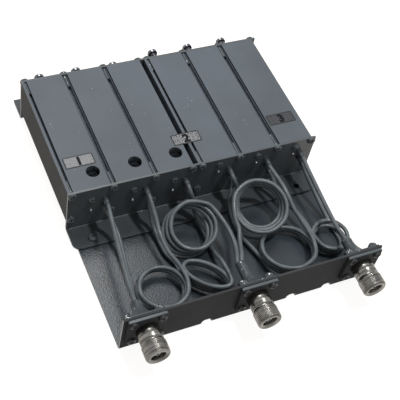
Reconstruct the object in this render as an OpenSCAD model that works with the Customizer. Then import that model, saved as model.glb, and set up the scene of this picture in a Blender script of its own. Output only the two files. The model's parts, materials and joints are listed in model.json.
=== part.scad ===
// Cavity duplexer: two extruded three-cell housings held between two end plates,
// standing on a folded tray that carries three coaxial jacks on its front wall.
// Origin: tray underside, middle of its width, in the plane of the front plate's face.

/* [Cells] */
// Width of the flat panel above one cell
panel_w = 25.1; // [24.6:0.1:25.3]
// Width of the groove between two panels
groove_w = 4.0; // [3.8:0.1:4.2]
// Width of the lip beside the first panel of a housing
lip_w = 1.9; // [1.7:0.1:2.1]
// Width of the corner groove behind the lip
corner_w = 1.8; // [1.6:0.1:2.0]
// Depth of the wide part of a groove
groove_d = 1.4; // [1.2:0.1:1.6]
// Height of a housing
housing_h = 29; // [28.6:0.2:29.4]
// Length of a housing between the two end plates
housing_l = 100; // [96:1:104]
// Air gap between the two housings
housing_gap = 3.7; // [3.3:0.1:4.1]
// Side of the square bore of a cell
bore_w = 22; // [21.8:0.1:22.2]
// Corner radius of the square bore
bore_r = 4; // [3.6:0.2:4.4]
// Diameter of the access holes above the trimmers
access_d = 9.2; // [8.8:0.1:9.4]

/* [End plates] */
// Thickness of the end plates and of their feet
plate_t = 1.5; // [1.4:0.1:1.6]
// How far both end plates reach past the second housing
plate_side = 2.9; // [2.5:0.1:3.3]
// Length of the front foot, from the plate's face
foot_front = 18; // [17:0.5:18.5]
// Length of the rear foot, from the plate's face
foot_rear = 16.7; // [16:0.1:17]
// Corner radius of the front foot
foot_r = 6; // [4:0.5:7]
// Diameter of the fixing holes in the feet
foot_hole_d = 4.2; // [3.6:0.1:4.4]

/* [Tray] */
// Width of the tray
tray_w = 180; // [179:0.5:181]
// Thickness of the tray sheet
tray_t = 1.5; // [1.4:0.1:1.6]
// Distance of the wall's outer face in front of the front plate
wall_y = 93.6; // [92.6:0.2:94.6]
// Height of the front wall
wall_h = 34.4; // [34.2:0.1:36]
// How far the tray reaches past the rear foot
tray_more = 0; // [0:0.1:2]
// Inset of the tray's waist under the housings, on each side
waist_in = 5; // [4:0.5:7]
// Width of the half-round notches at the foot of the wall
notch_w = 7.6; // [7:0.2:8.2]
// Height of these notches
notch_h = 6; // [5.4:0.2:6.4]

/* [Jacks] */
// Side of the square flanges
flange_w = 25.4; // [25.2:0.1:25.6]
// Thickness of a jack's flange
flange_t = 2.2; // [2:0.1:2.6]
// Height of the jack axes above the tray underside
jack_z = 21.2; // [21:0.1:21.4]
// Spacing of the four flange screws
flange_pitch = 18.3; // [18.2:0.1:18.4]
// Thread diameter of the jacks
jack_d = 15.88; // [15.7:0.02:16]
// Length of a jack in front of its flange
jack_l = 22; // [21:0.2:23]
// Length of the smooth neck between a jack's flange and its thread
neck_l = 9.4; // [8.6:0.2:10]
// Bore diameter of the jacks
jack_bore = 9.2; // [9:0.1:9.4]
// Diameter of the centre contacts
contact_d = 3.2; // [3:0.1:3.4]

/* [Hoods] */
// Thickness of the hood plates
hood_plate_t = 1.3; // [1.2:0.1:1.5]
// Outer radius of the hood cone at its plate
hood_r0 = 9.6; // [9.4:0.1:10]
// Outer radius of the hood cone at its tip
hood_r1 = 3.7; // [3.6:0.1:4]
// Length of the hood cone
hood_l = 13; // [12:0.5:14]

/* [Tuning screws] */
// Diameter of the tuning screws
tuner_d = 5; // [4.8:0.1:5.2]
// Diameter of the domed heads
tuner_head_d = 7.4; // [7:0.1:7.8]
// Width across flats of the lock nuts
nut_af = 8; // [7.6:0.1:8.4]
// Radial running clearance of the moving pieces
run_gap = 0.05; // [0.03:0.01:0.08]
// Radial clearance of the fixed pieces
fix_gap = 0.02; // [0.01:0.01:0.04]

/* [Cables] */
// Diameter of the coaxial cables
cable_d = 2.8; // [2.5:0.1:2.8]
// Outer diameter of the crimp sleeves on the front plate
sleeve_d = 3.8; // [3.6:0.1:4]
// Length of the crimp sleeves in front of the plate
sleeve_l = 6; // [5:0.5:6.5]

/* [Hidden] */

$fn = 48;

// Cells
cell_pitch = panel_w + groove_w;
corner_x = lip_w + corner_w;
housing_w = corner_x + 3 * panel_w + 2 * groove_w;
block_x = -92.9;
housing_x = [block_x, block_x + housing_w + housing_gap];
panel_x = [for (h = [0:1]) for (i = [0:2]) housing_x[h] + corner_x + i * cell_pitch];
cell_x = [for (x = panel_x) x + panel_w / 2];
top_z = 39.5;
low_z = top_z - housing_h;
cell_z = top_z - housing_h / 2;
y0 = plate_t;
y1 = plate_t + housing_l;
plate_back = y1 + plate_t;
plate_w = 2 * housing_w + housing_gap + plate_side;
tray_back = plate_back + foot_rear + tray_more;
bore_top = cell_z + bore_w / 2;

// Plate screws: one in every groove, their channels round and 2.5 deep
channel_d = 3.04;
channel_in = 2.5;
right_in = 0.5;
channel_dx = [lip_w + corner_w / 2, corner_x + panel_w + groove_w / 2,
              corner_x + cell_pitch + panel_w + groove_w / 2, housing_w - right_in];
channel_z = [low_z + channel_in, top_z - channel_in];
screw_x = [for (h = housing_x) for (d = channel_dx) h + d];
screw_d = 2.9;
head_d = 5.8;
head_h = 2.1;

// Pieces on the cell faces of the front plate
cell_screw_z = [for (d = [4, 4, 4, 9, 9, 9]) cell_z + d];
cell_pin_z = [for (d = [-6.6, -6.6, -6.6, 2, 2, 2]) cell_z + d];
cell_screw_d = 2.5;
cell_head_d = 4.8;
pin_d = 2;
sleeve_dx = [[21.5, 20.9, 20.1, 20.3, 20.0, 17.4], [21.5, 21.5, 21.5, 21.5, 21.5, 18.4]];
sleeve_x = [for (k = [0:1]) [for (i = [0:5]) panel_x[i] + sleeve_dx[k][i]]];
sleeve_z = [cell_z + 3, cell_z - 3.5];
sleeve_bore = cable_d + 0.3;

// Feet
foot_x = [block_x + 14.7, block_x + plate_w - 12.1];
foot_y = [-11.8, plate_back + 9.5];
tray_top = tray_t;
plate_low = tray_top;

// Resonators: a base block, a hollow former and a wound wire
base_w = 21.2;
base_t = 4;
former_d = 10;
former_bore = 6.2;
former_end = y1 - 21.5;
wire_d = 2;
helix_r = (former_d / 2 + wire_d / 2 + 0.05) / cos(15);
helix_y = y0 + 19.5;
helix_turns = [6, 4];
helix_pitch = 8;

// Trimmers under the access holes
trim_dx = 17.5;
trim_y = 14.1;
trim_z0 = bore_top - 3;
trim_z1 = bore_top;
trim_d = 10.4;
rotor_d = 6.6;

// Tuning screws
tuner_x = cell_x + [1.2, -0.7, -2, -1.1, -2.3, -3.3];
tuner_end = [for (d = [15.1, 14.8, 13.7, 18.8, 17.8, 17.8]) plate_back + d];
bush_d = 8.4;
bush_out = 2;
nut_t = 3.2;
tuner_in = y1 - 11.5;
plunger_d = 6;
plunger_y = y1 - 35.5;

// Jacks
jack_x = [-74.8, -0.2, 76.7];
wall_in = wall_y - tray_t;
hood_y = wall_in - hood_plate_t;
hood_neck = [1.5, 8, 2.5];
hood_bore = [3.1, 6.3, 3.1];
neck_d = jack_d - 1;
relief_d = jack_d - 1.7;
thread_at = flange_t + neck_l + 1.2;
jscrew_d = 2.9;
jhole_d = 3.2;
jnut_af = 5.5;
jnut_t = 2.4;

// Labels: centre and size
label_size = [20.4, 9.4, 0.15];
label_at = [[-77.5, 24.8], [-1.6, 24], [70.9, 22.8]];

// Cable routes
cable_in = 2.2;
hood_end = 83.5;

function unit(v) = v / norm(v);

// Points on a leaning coil, eight for each turn: centre and both half widths,
// turn of the long axis, normal of the coil, step for each turn, first angle, turns,
// and the share by which each turn is smaller than the one before
function coil(c, r, phi, n, d, th, turns, less = 0) =
    let (a = unit(cross([0, 1, 0], n)), b = cross(unit(n), a),
         p = a * cos(phi) + b * sin(phi), q = b * cos(phi) - a * sin(phi),
         steps = round(8 * abs(turns)), s = sign(turns))
    [for (k = [0:steps])
        let (t = th + s * 45 * k - phi, w = 1 - less * k / 8)
        c + d * (k / 8) + w * (p * (r[0] * cos(t)) + q * (r[1] * sin(t)))];

// A smooth curve through all points, with m steps between two of them
function smooth(p, m) = let (l = len(p) - 1) concat(
    [for (i = [0:l - 1]) for (j = [0:m - 1])
        let (t = j / m, a = p[max(i - 1, 0)], b = p[i], c = p[i + 1], d = p[min(i + 2, l)])
        0.5 * (2 * b + (c - a) * t + (2 * a - 5 * b + 4 * c - d) * t * t
               + (3 * b - a - 3 * c + d) * t * t * t)],
    [p[l]]);

// Directions along a list of points
function along(p) = [for (i = [0:len(p) - 1])
    unit(p[min(i + 1, len(p) - 1)] - p[max(i - 1, 0)])];

// A round tube through a list of points, eight sides
module tube(p, d, sides = 8) {
    n = len(p);
    t = along(p);
    s0 = unit(cross(t[0], [0.1, 0.2, 1]));
    side = [for (i = 0, s = s0; i < n; i = i + 1,
                 s = i < n ? unit(s - t[i] * (s * t[i])) : s) s];
    pts = [for (i = [0:n - 1]) for (k = [0:sides - 1])
        let (w = cross(t[i], side[i]))
        p[i] + d / 2 * (side[i] * cos(360 * k / sides) + w * sin(360 * k / sides))];
    walls = [for (i = [0:n - 2]) for (k = [0:sides - 1])
        let (a = i * sides + k, b = i * sides + (k + 1) % sides)
        [a, a + sides, b + sides, b]];
    first = [for (k = [0:sides - 1]) k];
    last = [for (k = [sides - 1:-1:0]) (n - 1) * sides + k];
    polyhedron(points = pts, faces = concat(walls, [first, last]), convexity = 8);
}

// Start of a cable in an upper (0) or lower (1) sleeve of cell i
function leave(i, k) = let (x = sleeve_x[k][i], z = sleeve_z[k])
    [[x, cable_in, z], [x, -3, z], [x, -7, z - 0.3]];
function arrive(i, k) = let (p = leave(i, k)) [p[2], p[1], p[0]];

route_low = concat(leave(0, 0),
    [[-68.7, -14, 27], [-70.7, -30, 25.4], [-72.8, -48, 23.6], [-74.4, -64, 22]],
    [[jack_x[0], -75, jack_z], [jack_x[0], -hood_end, jack_z]]);
route_12 = concat(leave(0, 1),
    [[-66, -12, 16.5], [-64.6, -20, 12.5], [-65.8, -35, 8.5], [-67.4, -50, 5.8]],
    coil([-52.5, -65, 5], [15.6, 15.4], 0, [0, 0, 1], [1, -0.5, 3.1], 180, 2.5),
    [[-35.4, -55, 13.6], [-38.6, -43, 14.2], [-39.6, -31, 16.6], [-39, -20, 21]],
    [[-39.2, -12, 25.6]], arrive(1, 0));
route_23 = concat(leave(1, 1),
    [[-38.6, -10.5, 17.5], [-38.2, -15, 10], [-37.8, -24, 5.6], [-37.2, -38, 4.6]],
    [[-34, -47, 4.6]],
    coil([-20.6, -64.4, 4.6], [16.5, 8.2], -45, [0, 0, 1], [0.5, -0.4, 3], 150, 2.5),
    [[-6.0, -60, 10.6], [-6.2, -50, 6.6], [-6.2, -40, 4.6], [-6, -28, 4.8]],
    [[-6.4, -18, 7], [-8.4, -11.5, 14], [-9.1, -9.1, 18]], arrive(2, 1));
route_3a = concat(leave(2, 0),
    [[-10.4, -10.4, 25], [-8.6, -13, 19], [-7.4, -17, 13.5], [-6, -22.5, 11.8]],
    coil([-20.5, -29.6, 10], [16, 16], 0, [-0.12, -0.38, 0.92], [2, -0.7, 3.1], 0, -2.875),
    [[0.6, -26.5, 22.4], [4.8, -39, 18.4], [4.4, -52, 18.4], [1.2, -62, 20.2]],
    [[jack_x[1] - 1.55, -70, jack_z], [jack_x[1] - 1.55, -hood_end, jack_z]]);
route_a4 = concat([[jack_x[1] + 1.55, -hood_end, jack_z], [jack_x[1] + 1.55, -70, jack_z]],
    [[4.6, -62, 20], [8.4, -52, 18.4], [11.8, -43, 18.8]],
    coil([32.4, -33.1, 22], [19.4, 19.4], 0, [-0.1, -0.32, 0.94], [1, 2, -2.9], 180, -3, 0.08),
    [[22.6, -20.5, 12.6], [24.6, -14.5, 15.5], [24.6, -11.2, 20], [22.6, -9.2, 25]],
    arrive(3, 0));
route_45 = concat(leave(3, 1),
    [[21.2, -10.8, 16.5], [19, -15.5, 9.5], [17.6, -26, 5.2], [17.6, -40, 4.4], [20.6, -52, 4.6]],
    coil([41.9, -62.6, 4.9], [18.2, 18.4], 0, [-0.02, 0.1, 0.99], [0, 0, 3], 180, 2.5),
    [[58.6, -48, 14.6], [55.6, -39, 18.6], [54.4, -32, 22.4], [53.2, -23, 25.4]],
    [[51.4, -12.5, 27.2]], arrive(4, 0));
route_56 = concat(leave(4, 1),
    [[53.6, -11.5, 16.5], [55.6, -18, 11.6], [59, -31, 10.6], [62, -46, 10.8]],
    coil([75.9, -60.5, 10.9], [12.9, 13.2], 0, [0, 0, 1], [-0.6, -0.5, -3.1], 180, 2.5, 0.1),
    [[83.6, -51, 3.2], [82, -39, 7], [80.2, -24, 13], [78.8, -13, 18]],
    arrive(5, 1));
route_high = concat(leave(5, 0),
    [[76.8, -16, 26.2], [76.2, -32, 24.6], [75.6, -50, 23], [75.6, -64, 21.8]],
    [[jack_x[2], -75, jack_z], [jack_x[2], -hood_end, jack_z]]);

// Turned pieces: axis along Y, pointing to the front (s = -1) or the rear (s = 1)
module at_y(x, y, z, s = 1) translate([x, y, z]) rotate([s > 0 ? -90 : 90, 0, 0]) children();

// Domed head with a crossed recess, its seat at z = 0
module pan_head(d, h) {
    difference() {
        intersection() {
            cylinder(d = d, h = h);
            translate([0, 0, h - 1.35 * d]) sphere(r = 1.35 * d, $fn = 64);
        }
        for (a = [0, 90]) rotate(a) translate([-d * 0.3, -0.3, h - 1]) cube([d * 0.6, 0.6, 2]);
    }
}

module screw(d, l, hd, hh) {
    pan_head(hd, hh);
    translate([0, 0, -l]) cylinder(d = d, h = l + 0.2);
}

module hex_nut(af, t, bore) {
    difference() {
        cylinder(r = af / 2 / cos(30), h = t, $fn = 6);
        translate([0, 0, -1]) cylinder(d = bore, h = t + 2);
    }
}

// Sheet bent at a right angle, drawn in a plane: run along +x, rise along +y
module bend_profile(run, rise, t, r) {
    translate([r, 0]) square([run - r, t]);
    translate([0, r]) square([t, rise - r]);
    intersection() {
        square([r, r]);
        difference() {
            translate([r, r]) circle(r = r);
            translate([r, r]) circle(r = r - t);
        }
    }
}

module rounded_square(w, r) {
    square([w, w - 2 * r], center = true);
    square([w - 2 * r, w], center = true);
    for (x = [-1, 1]) for (y = [-1, 1])
        translate([x * (w / 2 - r), y * (w / 2 - r)]) circle(r = r);
}

// Tray: base with a waist, and the wall bent up at the front
module connector_tray() color("#565c62") difference() {
    translate([-tray_w / 2, -wall_y, 0]) rotate([90, 0, 90])
        linear_extrude(tray_w) bend_profile(wall_y + tray_back, wall_h, tray_t, 2.5);
    for (s = [-1, 1]) translate([s * tray_w / 2, 0.46 * housing_l, tray_t / 2])
        cube([2 * waist_in, 0.72 * housing_l, tray_t + 2], center = true);
    for (x = [-31, 30, 57]) translate([x, -wall_y - 1, -1]) {
        translate([-notch_w / 2, 0, 0]) cube([notch_w, 3.6, notch_h - notch_w / 2 + 1]);
        translate([0, 0, notch_h - notch_w / 2 + 1]) rotate([-90, 0, 0])
            cylinder(d = notch_w, h = 3.6);
    }
    for (x = jack_x) {
        at_y(x, -wall_y - 1, jack_z) cylinder(d = 12, h = 4);
        for (a = [-1, 1]) for (b = [-1, 1])
            at_y(x + a * flange_pitch / 2, -wall_y - 1, jack_z + b * flange_pitch / 2)
                cylinder(d = jhole_d, h = 4, $fn = 24);
    }
    for (x = foot_x) for (y = foot_y) translate([x, y, -1])
        cylinder(d = x > 0 && y < 0 ? foot_hole_d : screw_d + 2 * fix_gap, h = 4);
}

// One housing: extruded along Y, three square bores, screw channels in its grooves
module housing_section() difference() {
    square([housing_w, housing_h]);
    for (i = [0:2]) translate([corner_x + i * cell_pitch + panel_w / 2, housing_h / 2])
        rounded_square(bore_w, bore_r);
    for (s = [0, 1]) translate([0, s * housing_h]) mirror([0, s]) {
        for (i = [0, 1]) translate([corner_x + i * cell_pitch + panel_w, -1])
            square([groove_w, groove_d + 1]);
        translate([lip_w, -1]) square([corner_w, groove_d + 1]);
        for (x = channel_dx) translate([x, channel_in]) circle(d = channel_d, $fn = 32);
    }
}

module housing(h) translate([housing_x[h], y1, low_z]) rotate([90, 0, 0])
    linear_extrude(housing_l) housing_section();

module housing_low() color("#6b7178") difference() {
    housing(0);
    for (i = [0:2]) translate([panel_x[i] + trim_dx, trim_y, top_z - 6])
        cylinder(d = access_d, h = 10);
}

module housing_high() color("#6b7178") housing(1);

// End plates: upright face with a foot bent outwards
module plate_holes(y) {
    for (x = screw_x) for (z = channel_z) at_y(x, y, z) cylinder(d = jhole_d, h = 4, $fn = 24);
}

module front_plate() color("#34383b") difference() {
    translate([block_x, plate_t, plate_low]) mirror([0, 1, 0]) rotate([90, 0, 90])
        linear_extrude(plate_w) bend_profile(foot_front + plate_t, top_z - plate_low, plate_t, 2.5);
    plate_holes(-1);
    for (i = [0:5]) {
        at_y(cell_x[i], -1, cell_screw_z[i])
            cylinder(d = cell_screw_d + 2 * fix_gap, h = 4, $fn = 24);
        at_y(cell_x[i], -1, cell_pin_z[i]) cylinder(d = pin_d + 2 * fix_gap, h = 4, $fn = 24);
        for (k = [0, 1]) at_y(sleeve_x[k][i], -1, sleeve_z[k])
            cylinder(d = sleeve_d + 2 * fix_gap, h = 4, $fn = 32);
    }
    for (x = foot_x) translate([x, foot_y[0], plate_low - 1])
        cylinder(d = x > 0 ? foot_hole_d : screw_d + 2 * fix_gap, h = 4);
    for (s = [0, 1]) translate([block_x + s * plate_w, -foot_front, plate_low - 1])
        mirror([s, 0, 0]) difference() {
            translate([-1, -1, 0]) cube([foot_r + 1, foot_r + 1, 4]);
            translate([foot_r, foot_r, -1]) cylinder(r = foot_r, h = 6);
        }
}

module rear_plate() color("#34383b") difference() {
    translate([block_x, y1, plate_low]) rotate([90, 0, 90])
        linear_extrude(plate_w) bend_profile(foot_rear + plate_t, top_z - plate_low, plate_t, 2.5);
    plate_holes(y1 - 1);
    for (x = tuner_x) at_y(x, y1 - 1, cell_z) cylinder(d = bush_d + 2 * fix_gap, h = 4);
    for (x = foot_x) translate([x, foot_y[1], plate_low - 1])
        cylinder(d = screw_d + 2 * fix_gap, h = 4);
}

// Fasteners of the end plates, all in the screw channels
module front_plate_screws() color("#b9bcc0") for (x = screw_x) for (z = channel_z)
    at_y(x, 0, z, -1) screw(screw_d, 12, head_d, head_h);

module rear_plate_screws() color("#b9bcc0") for (x = screw_x) for (z = channel_z)
    at_y(x, plate_back, z) screw(screw_d, 12, head_d, head_h);

module cell_screws() color("#8d8f90") for (i = [0:5])
    at_y(cell_x[i], 0, cell_screw_z[i], -1) screw(cell_screw_d, base_t, cell_head_d, 1.7);

module cell_pins() color("#8d8f90") for (i = [0:5])
    at_y(cell_x[i], -1.6, cell_pin_z[i]) cylinder(d = pin_d, h = 4.2, $fn = 24);

module foot_screws() color("#b9bcc0")
    for (p = [[foot_x[0], foot_y[0]], [foot_x[0], foot_y[1]], [foot_x[1], foot_y[1]]])
        translate([p[0], p[1], plate_low + plate_t]) screw(screw_d, 2.7, 6, 2.2);

// Inside of a cell: base block and former of one piece, with the wire wound on it
module resonator_formers() color("#d8d2c0") for (i = [0:5]) difference() {
    union() {
        at_y(cell_x[i], y0, cell_z) translate([-base_w / 2, -base_w / 2, 0]) difference() {
            cube([base_w, base_w, base_t]);
            for (a = [0, 1]) for (b = [0, 1])
                translate([a * base_w, b * base_w, -1]) rotate(45)
                    cube([5.4, 5.4, 20], center = true);
        }
        at_y(tuner_x[i], y0 + base_t - 0.5, cell_z)
            cylinder(d = former_d, h = former_end - y0 - base_t);
    }
    at_y(tuner_x[i], y0 + base_t + 1, cell_z) cylinder(d = former_bore, h = 100);
    at_y(cell_x[i], y0 - 1, cell_screw_z[i])
        cylinder(d = cell_screw_d + 2 * fix_gap, h = base_t + 0.1, $fn = 24);
    at_y(cell_x[i], y0 - 1, cell_pin_z[i]) cylinder(d = pin_d + 2 * fix_gap, h = 2.2, $fn = 24);
    for (k = [0, 1]) at_y(sleeve_x[k][i], y0 - 1, sleeve_z[k])
        cylinder(d = sleeve_d + 0.2, h = 10, $fn = 32);
}

// Wire helix around a former, with a straight lead back to the base block
module helix(i) {
    turns = helix_turns[i < 3 ? 0 : 1];
    steps = 12 * turns;
    pts = concat(
        [[tuner_x[i] - helix_r, y0 + base_t, cell_z], [tuner_x[i] - helix_r, helix_y - 6, cell_z]],
        [for (k = [0:steps]) let (a = 180 + 30 * k)
            [tuner_x[i] + helix_r * cos(a), helix_y + helix_pitch * k / 12,
             cell_z + helix_r * sin(a)]]);
    tube(pts, wire_d, 6);
}

module resonators_low() color("#b87a4a") for (i = [0:2]) helix(i);

module resonators_high() color("#b87a4a") for (i = [3:5]) helix(i);

// Trimmers: a cup under each access hole and a slotted rotor in it
module trimmer_bodies() color("#e6e1d6") for (i = [0:2])
    difference() {
        intersection() {
            translate([panel_x[i] + trim_dx, trim_y, trim_z0])
                cylinder(d = trim_d, h = trim_z1 - trim_z0);
            at_y(cell_x[i], y0, cell_z) linear_extrude(40) rounded_square(bore_w, bore_r + 0.5);
        }
        translate([panel_x[i] + trim_dx, trim_y, trim_z0 + 1])
            cylinder(d = rotor_d + 2 * run_gap, h = 5);
    }

module trimmer(i) color("#c9a75a") translate([panel_x[i] + trim_dx, trim_y, trim_z0 + 1.02])
    difference() {
        cylinder(d = rotor_d, h = 1.6);
        translate([-2.4, -0.35, 0.8]) cube([4.8, 0.7, 2]);
    }

module trimmer_1() trimmer(0);

module trimmer_2() trimmer(1);

module trimmer_3() trimmer(2);

// Tuning screws at the rear: bush, lock nut, screw and plunger
module tuner_bushes() color("#c2a25c") for (x = tuner_x) at_y(x, y1 - 3, cell_z) difference() {
    union() {
        cylinder(d = bush_d, h = 3 + plate_t + bush_out);
        cylinder(d = bush_d + 2.4, h = 3);
    }
    translate([0, 0, -1]) cylinder(d = tuner_d + 2 * run_gap, h = 10);
}

module lock_nuts() color("#b9bcc0") for (x = tuner_x)
    at_y(x, plate_back + bush_out, cell_z) hex_nut(nut_af, nut_t, tuner_d + 2 * run_gap);

module tuning_screw(i) color("#d4d6d8") at_y(tuner_x[i], tuner_in, cell_z) {
    l = tuner_end[i] - tuner_in;
    difference() {
        union() {
            cylinder(d = tuner_d, h = l - 3);
            intersection() {
                translate([0, 0, l - 3.6]) cylinder(d = tuner_head_d, h = 3.6);
                translate([0, 0, l - tuner_head_d * 0.62]) sphere(r = tuner_head_d * 0.62, $fn = 64);
            }
        }
        translate([-tuner_head_d / 2, -0.35, l - 0.9]) cube([tuner_head_d, 0.7, 2]);
    }
}

module tuning_screw_1() tuning_screw(0);

module tuning_screw_2() tuning_screw(1);

module tuning_screw_3() tuning_screw(2);

module tuning_screw_4() tuning_screw(3);

module tuning_screw_5() tuning_screw(4);

module tuning_screw_6() tuning_screw(5);

module plunger(i) color("#c98a56") at_y(tuner_x[i], plunger_y, cell_z) difference() {
    cylinder(d = plunger_d, h = tuner_in + 4 - plunger_y);
    translate([0, 0, tuner_in - plunger_y - 0.3]) cylinder(d = tuner_d + 2 * run_gap, h = 20);
}

module plunger_1() plunger(0);

module plunger_2() plunger(1);

module plunger_3() plunger(2);

module plunger_4() plunger(3);

module plunger_5() plunger(4);

module plunger_6() plunger(5);

// Crimp sleeves, two for each cell
module cable_sleeves() color("#6f7478") for (k = [0, 1]) for (x = sleeve_x[k])
    at_y(x, -sleeve_l, sleeve_z[k]) difference() {
        cylinder(d = sleeve_d, h = sleeve_l + plate_t + 1.5, $fn = 32);
        translate([0, 0, -1]) cylinder(d = sleeve_bore, h = sleeve_l + 10, $fn = 32);
    }

// Jacks on the wall: shell, insulator and centre contact
module jack(j) color("#b8b3a8") difference() {
    union() {
        at_y(jack_x[j], -wall_y, jack_z, -1) {
            linear_extrude(flange_t) rounded_square(flange_w, 1.2);
            cylinder(d = neck_d, h = flange_t + neck_l);
            cylinder(d = relief_d, h = jack_l - 0.8);
            translate([0, 0, thread_at]) cylinder(d = jack_d, h = jack_l - thread_at - 0.8);
            translate([0, 0, jack_l - 0.8]) cylinder(d1 = jack_d, d2 = jack_d - 1.6, h = 0.8);
        }
        at_y(jack_x[j], -wall_y - 0.1, jack_z) cylinder(d = 11.6, h = 3.2);
    }
    at_y(jack_x[j], -wall_y - jack_l - 1, jack_z) cylinder(d = jack_bore, h = jack_l + 10);
    for (a = [-1, 1]) for (b = [-1, 1])
        at_y(jack_x[j] + a * flange_pitch / 2, -wall_y - flange_t - 1, jack_z + b * flange_pitch / 2)
            cylinder(d = jhole_d, h = 6, $fn = 24);
}

module jack_low() jack(0);

module jack_antenna() jack(1);

module jack_high() jack(2);

module jack_insulators() color("#e9e6dc") for (x = jack_x)
    at_y(x, -wall_y - jack_l + 8.2, jack_z) difference() {
        cylinder(d = jack_bore - 2 * fix_gap, h = jack_l - 4.2);
        translate([0, 0, -1]) cylinder(d = contact_d + 2 * fix_gap, h = 20, $fn = 24);
    }

module jack_contacts() color("#cfae5e") for (x = jack_x)
    at_y(x, -wall_y - jack_l + 2, jack_z) difference() {
        cylinder(d = contact_d, h = jack_l + 6, $fn = 24);
        translate([0, 0, -1]) cylinder(d = 1.7, h = 7, $fn = 24);
    }

// Hoods behind the wall: square plate and a hollow flare with a neck for the cables
function hood_r(t) = hood_r1 + (hood_r0 - hood_r1) * pow(1 - t, 2);

module flare(less) rotate_extrude($fn = 48) polygon(concat([[0, 0]],
    [for (k = [0:8]) [hood_r(k / 8) - less, (hood_l - 2.5 * less) * k / 8]],
    [[0, hood_l - 2.5 * less]]));

module hood(j) color("#575c5f") at_y(jack_x[j], -wall_in, jack_z) difference() {
    union() {
        linear_extrude(hood_plate_t) rounded_square(flange_w, 1.2);
        translate([0, 0, hood_plate_t]) flare(0);
        translate([0, 0, hood_plate_t + hood_l - 0.1]) cylinder(r = hood_r1, h = hood_neck[j] + 0.1);
    }
    translate([0, 0, -1]) cylinder(d = 12, h = 1 + hood_plate_t + 0.01);
    translate([0, 0, hood_plate_t - 0.01]) flare(0.8);
    translate([0, 0, hood_plate_t]) cylinder(d = hood_bore[j], h = hood_l + 20, $fn = 32);
    for (a = [-1, 1]) for (b = [-1, 1]) translate([a * flange_pitch / 2, b * flange_pitch / 2, -1])
        cylinder(d = jhole_d, h = 5, $fn = 24);
}

module hood_low() hood(0);

module hood_antenna() hood(1);

module hood_high() hood(2);

module jack_corners() for (x = jack_x) for (a = [-1, 1]) for (b = [-1, 1])
    translate([x + a * flange_pitch / 2, 0, jack_z + b * flange_pitch / 2]) children();

module jack_screws() color("#b9bcc0") jack_corners()
    at_y(0, -wall_y - flange_t, 0, -1) screw(jscrew_d, 8.6, 5.5, 1.9);

module jack_nuts() color("#b9bcc0") jack_corners()
    at_y(0, -hood_y, 0) hex_nut(jnut_af, jnut_t, jscrew_d + 2 * fix_gap);

// Printed labels on the top
module label(j) color("#d9dadb")
    translate([label_at[j][0], label_at[j][1], top_z + label_size[2] / 2])
        cube(label_size, center = true);

module label_low() label(0);

module label_antenna() label(1);

module label_high() label(2);

// Cables: two straight ones to the outer jacks, six coiled ones in a chain
module cable(p) color("#53585a") tube(smooth(p, 2), cable_d);

module cable_low_jack() cable(route_low);

module cable_cells_12() cable(route_12);

module cable_cells_23() cable(route_23);

module cable_cell_3_antenna() cable(route_3a);

module cable_antenna_cell_4() cable(route_a4);

module cable_cells_45() cable(route_45);

module cable_cells_56() cable(route_56);

module cable_high_jack() cable(route_high);

connector_tray();
housing_low();
housing_high();
front_plate();
rear_plate();
front_plate_screws();
rear_plate_screws();
cell_screws();
cell_pins();
foot_screws();
resonator_formers();
resonators_low();
resonators_high();
trimmer_bodies();
trimmer_1();
trimmer_2();
trimmer_3();
tuner_bushes();
lock_nuts();
plunger_1();
plunger_2();
plunger_3();
plunger_4();
plunger_5();
plunger_6();
tuning_screw_1();
tuning_screw_2();
tuning_screw_3();
tuning_screw_4();
tuning_screw_5();
tuning_screw_6();
cable_sleeves();
jack_low();
jack_antenna();
jack_high();
jack_insulators();
jack_contacts();
hood_low();
hood_antenna();
hood_high();
jack_screws();
jack_nuts();
label_low();
label_antenna();
label_high();
cable_low_jack();
cable_cells_12();
cable_cells_23();
cable_cell_3_antenna();
cable_antenna_cell_4();
cable_cells_45();
cable_cells_56();
cable_high_jack();
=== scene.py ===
# A six-cell cavity duplexer: two extruded housings between end plates on a folded tray,
# coiled coaxial leads in the tray's bay, and three threaded jacks on its front wall.
# Sizes and points are written in millimetres, and each mesh is made in metres, in the frame of
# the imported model.
import json
import math

import bmesh
import bpy
import numpy as np
from mathutils import Matrix

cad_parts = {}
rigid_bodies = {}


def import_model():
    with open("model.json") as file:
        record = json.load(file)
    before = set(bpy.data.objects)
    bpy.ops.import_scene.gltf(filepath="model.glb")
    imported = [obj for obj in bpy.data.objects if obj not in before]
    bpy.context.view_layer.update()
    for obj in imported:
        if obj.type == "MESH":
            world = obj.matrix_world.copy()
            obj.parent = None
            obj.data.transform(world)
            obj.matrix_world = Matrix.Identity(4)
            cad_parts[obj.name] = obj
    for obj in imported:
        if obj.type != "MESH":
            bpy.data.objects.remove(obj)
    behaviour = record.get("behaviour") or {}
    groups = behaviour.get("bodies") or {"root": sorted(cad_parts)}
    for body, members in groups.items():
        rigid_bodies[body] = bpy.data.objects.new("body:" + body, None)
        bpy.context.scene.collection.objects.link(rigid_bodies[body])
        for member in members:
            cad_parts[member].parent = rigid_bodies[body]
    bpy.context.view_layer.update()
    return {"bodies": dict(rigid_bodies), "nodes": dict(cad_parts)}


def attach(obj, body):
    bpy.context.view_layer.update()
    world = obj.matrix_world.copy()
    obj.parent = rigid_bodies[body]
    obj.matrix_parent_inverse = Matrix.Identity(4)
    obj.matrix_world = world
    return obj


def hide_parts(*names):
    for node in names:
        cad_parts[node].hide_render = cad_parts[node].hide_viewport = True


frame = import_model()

MM = 0.001


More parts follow.
